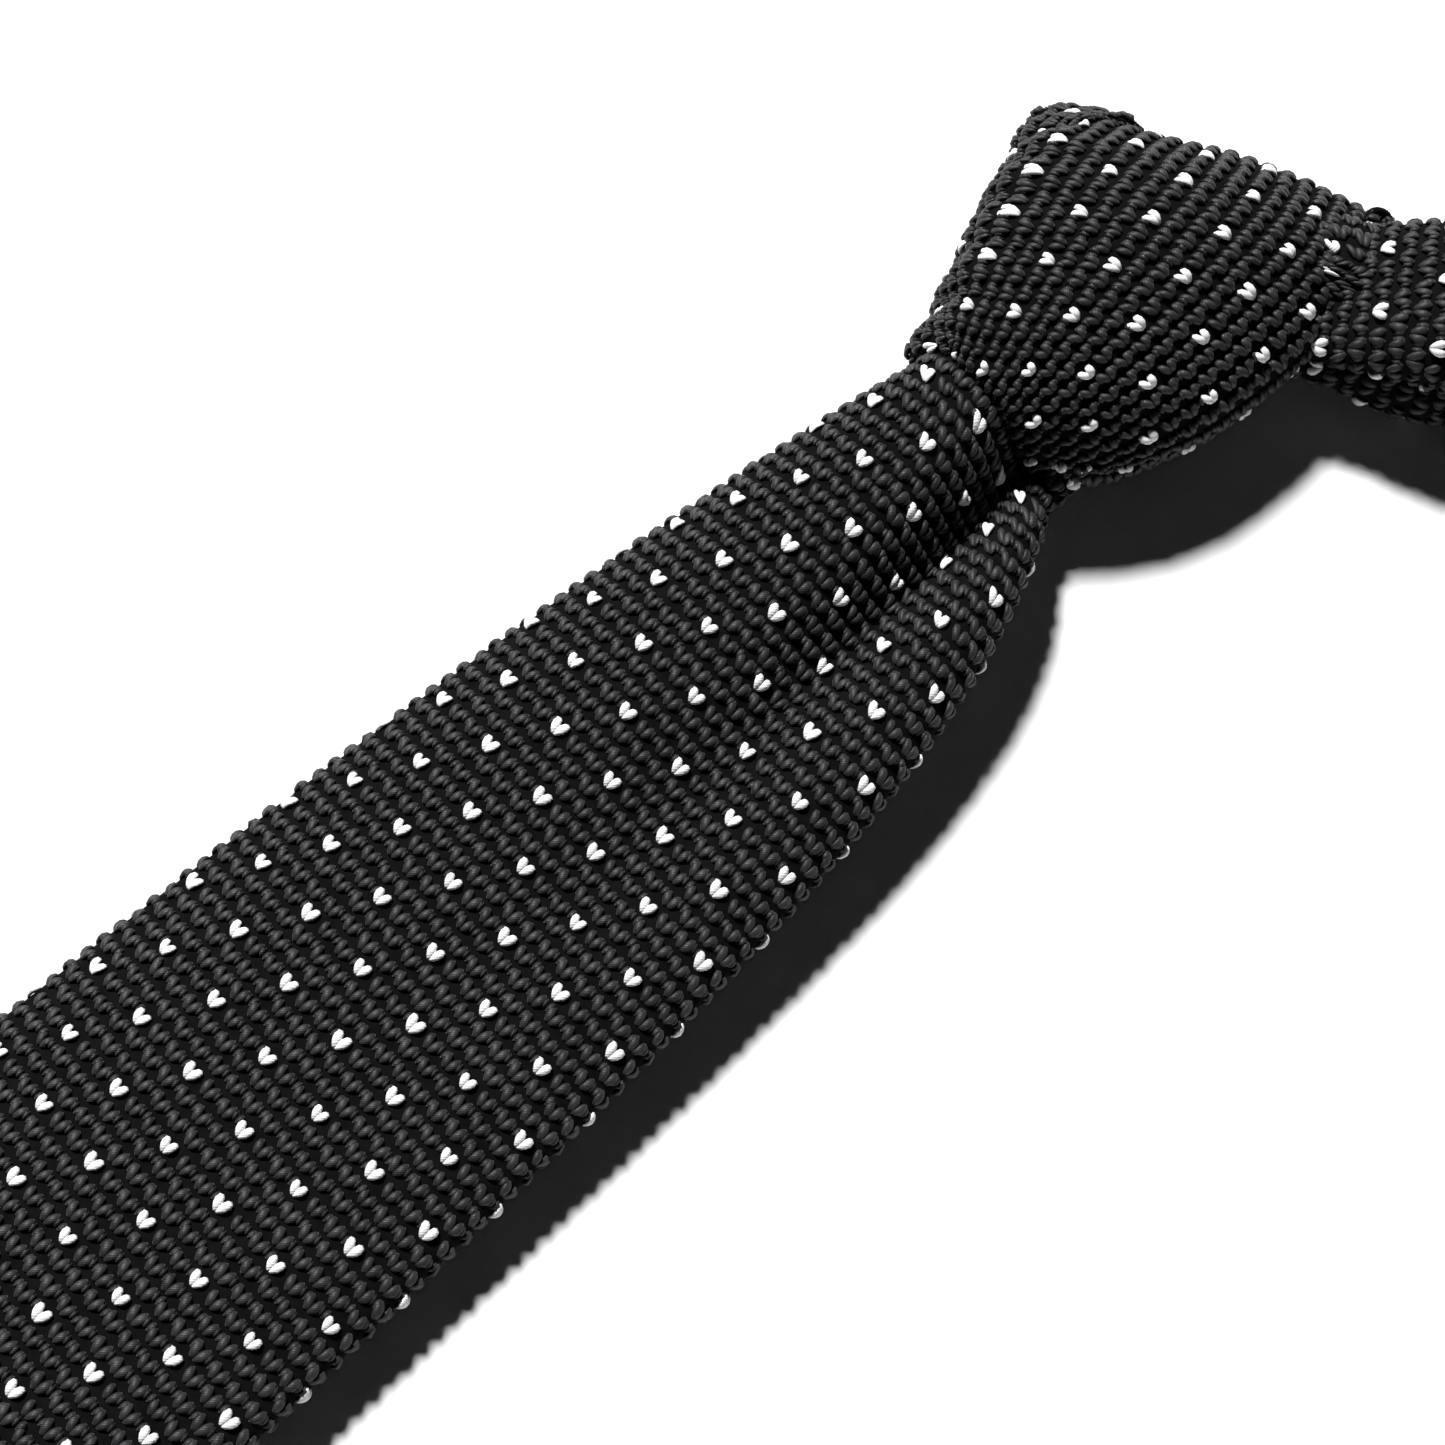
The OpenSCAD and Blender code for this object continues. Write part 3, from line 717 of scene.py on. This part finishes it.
def neckband_cloth():
    """From the tail-side arm inside the knot, round the collar, to the blade-side arm inside the knot."""
    q = np.linspace(-INSIDE_ARM, 0, 40)
    d = np.linspace(0, STRAIGHT, 90)[1:]
    sweep = math.pi + 2 * HALF_ANGLE
    g = (ARM_ANGLE - math.pi / 2 - HALF_ANGLE + np.linspace(0, sweep, 240)[1:])[:, None]
    circle = COLLAR_CENTRE + COLLAR_R * np.hstack([np.cos(g), np.sin(g), 0 * g]) + BAND_Z * Z
    even = np.ones(len(g))
    parts = [
        arm_end_points(q, -1, TAIL_SIDE),
        arm_points(d, -1, TAIL_SIDE),
        (circle, np.broadcast_to(-Z, circle.shape), BAND_HALF * even, BAND_HT * even, BAND_TURN * even),
        [a[::-1] for a in arm_points(d[:-1], 1, BLADE_SIDE)],
        [a[::-1] for a in arm_end_points(q, 1, BLADE_SIDE)],
    ]
    points, across, half, thick, curl = (np.concatenate(column) for column in zip(*parts))
    curl = np.radians(curl)
    cloth = Cloth(points, across, (half, half), (curl, curl), (2, 2), thick)
    total = cloth.s[-1]
    arm = INSIDE_ARM + STRAIGHT - 0.6
    return cloth, [0, INSIDE_ARM, arm, total - arm, total - INSIDE_ARM, total]


def strip(points, across, half, thick, curl=0.0, step=1.0):
    """A flat piece of fabric along a few points; half may be one half width for each end."""
    p = np.asarray(points, float)
    t = np.linspace(0, len(p) - 1, max(12, int(np.linalg.norm(np.diff(p, axis=0), axis=1).sum() / step)))
    path = np.stack([np.interp(t, np.arange(len(p)), p[:, c]) for c in range(3)], 1)
    ends = np.broadcast_to(np.asarray(half, float), 2)
    half = np.linspace(*ends, len(t))
    c = math.radians(curl)
    return Cloth(path, across, (half, half), (c, c), (2, 2), rounded(path, thick), step=step)


# ------------------------------------------------------------------------------------------------
# Build


def settle(pieces, body=None, bend=None):
    """Puts pieces on a CAD body, or bakes the placement of pieces that go between two bodies into their meshes."""
    for ob in pieces:
        if bend:
            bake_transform(ob)
        else:
            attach(ob, body)


def fabric(cloth, node, stitches, body=None, bend=None, part=(0.0, None)):
    """A knitted piece that stands for a CAD node, with its stitches."""
    base = cloth.base(node + "_fabric", GROUND_PAINTED_SHADE, *part)
    settle([base] + stitches, body, bend)
    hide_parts(node)
    return base


# Two bodies, and the points between which a piece goes over from the first to the second
BLADE_BEND = ("knot", "front_blade", (0, -24, 15), (0, -46, 15))
TAIL_BEND = ("front_blade", "tail", (0, -66, 5), (0, -200, 3))
# The blade's knit: its first row, the pitch of its rows at the knot and far from it, and how fast it opens
BLADE_ROWS = (1.5, 2.15, 2.4, 60)
# The blade's stitches come in four pieces, so that no mesh grows too large
BLADE_CUTS = (96, 206, 330)
# Length of the tail's upper piece, which bends at the knot's mouth
TAIL_TOP = 44.0


def build_blade():
    cloth = blade_cloth()
    rows = rows_along(cloth, *BLADE_ROWS)
    stitches = []
    cuts = [0, *BLADE_CUTS, cloth.s[-1]]
    for k, (s0, s1) in enumerate(zip(cuts, cuts[1:])):
        stitches += knit(cloth, f"front_blade_{k + 1}", s0, s1, rows, shift=-1.9)
    fabric(cloth, "front_blade", stitches, bend=BLADE_BEND)
    seam = back_seam(cloth, "front_blade_seam_thread", 22, cloth.s[-1] - 16)
    settle([seam], bend=BLADE_BEND)
    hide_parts("front_blade_seam")


def build_tail():
    """The tail in two pieces: its top, which rises towards the knot's mouth, and the rest below that."""
    cloth = tail_cloth()
    cut = cloth.s[-1] - TAIL_TOP
    stitches = knit(cloth, "tail", 0, cut)
    fabric(cloth, "tail_blade", stitches, bend=TAIL_BEND, part=(0, cut))
    base = cloth.base("tail_top_fabric", GROUND_PAINTED_SHADE, cut)
    stitches = knit(cloth, "tail_top", cut)
    settle([base] + stitches, bend=BLADE_BEND)
    seam = back_seam(cloth, "tail_seam_thread", 14, cut)
    settle([seam], bend=TAIL_BEND)
    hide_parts("tail_seam")
    seam = back_seam(cloth, "tail_top_seam_thread", cut, cloth.s[-1] - 18)
    settle([seam], bend=BLADE_BEND)


def knot_layer(inset, z, curl, ends):
    """A pass of fabric inside the knot, from its left side to its right, inset from its edges."""
    left, right = (
        [MOUTH_LEFT + share * (MOUTH_RIGHT - MOUTH_LEFT), TOP_LEFT + share * (TOP_RIGHT - TOP_LEFT)]
        for share in ends
    )
    halves = [np.linalg.norm(b - a) / 2 - inset for a, b in (left, right)]
    middles = [(a + b) / 2 + z * Z for a, b in (left, right)]
    return strip(middles, sum(b - a for a, b in (left, right)), halves, PASS_HT, curl)


def build_knot():
    wrap = wrap_cloth()
    stitches = knit(wrap, "knot_front_wrap", shift=0.2, squeeze=gathered)
    fabric(wrap, "knot_front_wrap", stitches, "knot")
    final = final_pass_cloth()
    stitches = knit(final, "knot_final_pass", shift=-1.5)
    fabric(final, "knot_final_pass", stitches, "knot")
    layer = knot_layer(4.5, PASS_HT + 2 * PILE, -15, (0.1, 0.7))
    stitches = knit(layer, "knot_back_pass")
    fabric(layer, "knot_back_pass", stitches, "knot")
    first = strip([(-14, 1, 10.5), (-3, -3, 12), (7, -9, 11.5)], unit(TOP_LEFT - MOUTH_LEFT), 9.0, 1.6, 20)
    stitches = knit(first, "knot_first_pass")
    fabric(first, "knot_first_pass", stitches, "knot")
    strand = strip([(-3, 0, 6.8), (0, -14, 6.8), (0.5, -29, 6.8)], -X, 6.0, 1.5, 20)
    stitches = knit(strand, "knot_tail_strand")
    fabric(strand, "knot_tail_strand", stitches, "knot")


def build_neckband():
    cloth, cuts = neckband_cloth()
    pivot = HINGE + BLADE_Z * Z
    loop_bend = ("arm_ends", "neck_loop", pivot, pivot + 24 * U)
    names = ["tail_side_arm_end", "tail_side_arm", "collar_band", "blade_side_arm", "blade_side_arm_end"]
    for name, s0, s1 in zip(names, cuts, cuts[1:]):
        stitches = knit(cloth, name, s0, s1)
        body = {"collar_band": "neck_loop"}.get(name, "arm_ends" if name.endswith("end") else None)
        bend = None if body else loop_bend
        fabric(cloth, name, stitches, body, bend, (s0, s1))
    for node, s in (("tail_side_join_seam", cuts[2]), ("blade_side_join_seam", cuts[3])):
        k = int(s / cloth.ds)
        v = np.arange(cloth.v[k].min(), cloth.v[k].max() - 1, 1.7)
        stitch = thread_stitch(3.6, 0.22, 0.6)
        around = place(cloth, np.full(len(v), s), v, stitch, node + "_thread", THREAD, angle=0.3)
        settle([around], "neck_loop")
        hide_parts(node)
    g = np.linspace(0, math.pi + 2 * HALF_ANGLE, 80)[1:-1, None] + ARM_ANGLE - math.pi / 2 - HALF_ANGLE
    arc = COLLAR_CENTRE + COLLAR_R * np.hstack([np.cos(g), np.sin(g), 0 * g]) + BAND_Z * Z
    tape(strip(arc, Z, 5.7, 0.3), "collar_stay_tape", "neck_loop")


def tape(cloth, node, body, material=None):
    """A plain woven piece that stands for a CAD node."""
    ob = cloth.base(node + "_cloth", material or TAPE)
    settle([ob], body)
    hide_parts(node)


def build_hem(node, body, stitched):
    """The end of the fabric folded back on the underside, with a row of stitches along its fold line."""
    lo, hi = box(node)
    thick = (hi[2] - lo[2]) / 2 - 0.05
    half = (hi[1] - lo[1]) / 2 - thick
    y, z = (lo[1] + hi[1]) / 2, (lo[2] + hi[2]) / 2
    cloth = strip([(lo[0] + 1, y, z), (hi[0] - 1, y, z)], Y, half, thick)
    tape(cloth, node, body, HEM)
    lo, hi = box(stitched)
    x = np.arange(lo[0] + 0.3, hi[0], 0.42)
    places = [(a, (lo[1] + hi[1]) / 2, (lo[2] + hi[2]) / 2) for a in x]
    tack = threads(stitched + "_thread", places, hi[1] - lo[1], 0.24)
    settle([tack], body)
    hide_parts(stitched)


def eased(corners, radius):
    """The corners with each inner one replaced by a short arc."""
    out = [corners[0]]
    for a, b, c in zip(corners, corners[1:], corners[2:]):
        start, end = b + radius * unit(a - b), b + radius * unit(c - b)
        for u in np.linspace(0, 1, 6):
            out.append((1 - u) ** 2 * start + 2 * u * (1 - u) * b + u * u * end)
    return out + [corners[-1]]


def build_keeper():
    """The strip across the back of the blade that holds the tail, and the label under it."""
    lo, hi = box("keeper_loop")
    thick = 0.35
    inside = box("keeper_loop_tacks")[1][0] - 2.8
    y = (lo[1] + hi[1]) / 2
    low, top = thick + 0.05, hi[2] - 2 * PILE - thick
    side = hi[0] - thick
    outline = [(-side, top), (-inside, top), (-inside, low), (inside, low), (inside, top), (side, top)]
    corners = [np.array([x, y, z]) for x, z in outline]
    band = strip(eased(corners, 0.9), Y, (hi[1] - lo[1]) / 2 - thick, thick, step=0.3)
    tape(band, "keeper_loop", "front_blade")
    lo, hi = box("keeper_loop_tacks")
    places = [(m * (hi[0] - 0.5), yy, top - thick) for m in (-1, 1) for yy in np.arange(lo[1] + 0.6, hi[1], 1.1)]
    tacks = threads("keeper_loop_tacks_thread", places, 1.6, 0.22, 0.5)
    settle([tacks], "front_blade")
    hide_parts("keeper_loop_tacks")
    lo, hi = box("care_label")
    z = lo[2] - 2 * PILE
    wave = [(x, 0.12 * math.sin(4 * u)) for u, x in zip(np.linspace(0, 1, 12), np.linspace(hi[1], lo[1], 12))]
    points = [((lo[0] + hi[0]) / 2, yy, z + lift) for yy, lift in wave]
    label = strip(points, X, (hi[0] - lo[0]) / 2 - 0.12, 0.12)
    tape(label, "care_label", "front_blade", LABEL)
    lo, hi = box("care_label_stitches")
    places = [(x, (lo[1] + hi[1]) / 2, z - 0.15) for x in np.arange(lo[0] + 0.8, hi[0], 3.0)]
    row = threads("care_label_stitches_thread", places, 1.6, 0.2, math.pi / 2)
    settle([row], "front_blade")
    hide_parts("care_label_stitches")


build_blade()
build_tail()
build_knot()
build_neckband()
build_hem("front_blade_hem", "front_blade", "front_blade_bar_tack")
build_hem("tail_hem", "tail", "tail_bar_tack")
build_keeper()

# ------------------------------------------------------------------------------------------------
# Floor, light and camera

AIM = Vector((0.0077, -0.0782, 0.010))
AZIMUTH, ELEVATION, DISTANCE = math.radians(46), math.radians(70.5), 0.283
# The picture's right and down, seen on the floor
RIGHT = np.array([math.cos(AZIMUTH), math.sin(AZIMUTH), 0])
DOWN = np.array([math.sin(AZIMUTH), -math.cos(AZIMUTH), 0])


def build_floor():
    floor = bpy.data.objects.new("floor", bpy.data.meshes.new("floor"))
    floor.data.from_pydata([(x, y, 0) for x, y in ((-30, -30), (30, -30), (30, 30), (-30, 30))], [], [(0, 1, 2, 3)])
    bpy.context.scene.collection.objects.link(floor)
    floor.data.materials.append(surface("floor", (0.9, 0.9, 0.9), 0.9)[0])
    floor.location.z = -0.0003


def build_light():
    """A white wall all round under a dim ceiling, and one soft lamp from the upper left of the picture."""
    world = bpy.data.worlds.new("studio")
    bpy.context.scene.world = world
    world.use_nodes = True
    nodes, links = world.node_tree.nodes, world.node_tree.links
    background = nodes["Background"]
    background.inputs["Color"].default_value = (1, 1, 1, 1)
    direction, split, height = (nodes.new("ShaderNode" + kind) for kind in ("TexCoord", "SeparateXYZ", "MapRange"))
    links.new(direction.outputs["Generated"], split.inputs[0])
    links.new(split.outputs["Z"], height.inputs["Value"])
    for socket, value in zip(("From Min", "From Max", "To Min", "To Max"), (0.06, 0.18, 1.0, 0.004)):
        height.inputs[socket].default_value = value
    links.new(height.outputs["Result"], background.inputs["Strength"])
    lamp = bpy.data.lights.new("key", "SUN")
    lamp.energy, lamp.angle = 6.0, math.radians(9)
    ob = bpy.data.objects.new("key", lamp)
    away = Vector(-0.3 * RIGHT - 0.72 * DOWN + Z).normalized()
    ob.rotation_euler = (-away).to_track_quat("-Z", "Y").to_euler()
    bpy.context.scene.collection.objects.link(ob)


def build_camera():
    lens = bpy.data.cameras.new("camera")
    lens.lens, lens.sensor_width = 60, 36
    camera = bpy.data.objects.new("camera", lens)
    bpy.context.scene.collection.objects.link(camera)
    bpy.context.scene.camera = camera
    away = Vector((*(math.cos(ELEVATION) * DOWN[:2]), math.sin(ELEVATION)))
    camera.location = AIM + DISTANCE * away
    camera.rotation_euler = (-away).to_track_quat("-Z", "Y").to_euler()
    bpy.context.scene.view_settings.view_transform = "Standard"


build_floor()
build_light()
build_camera()
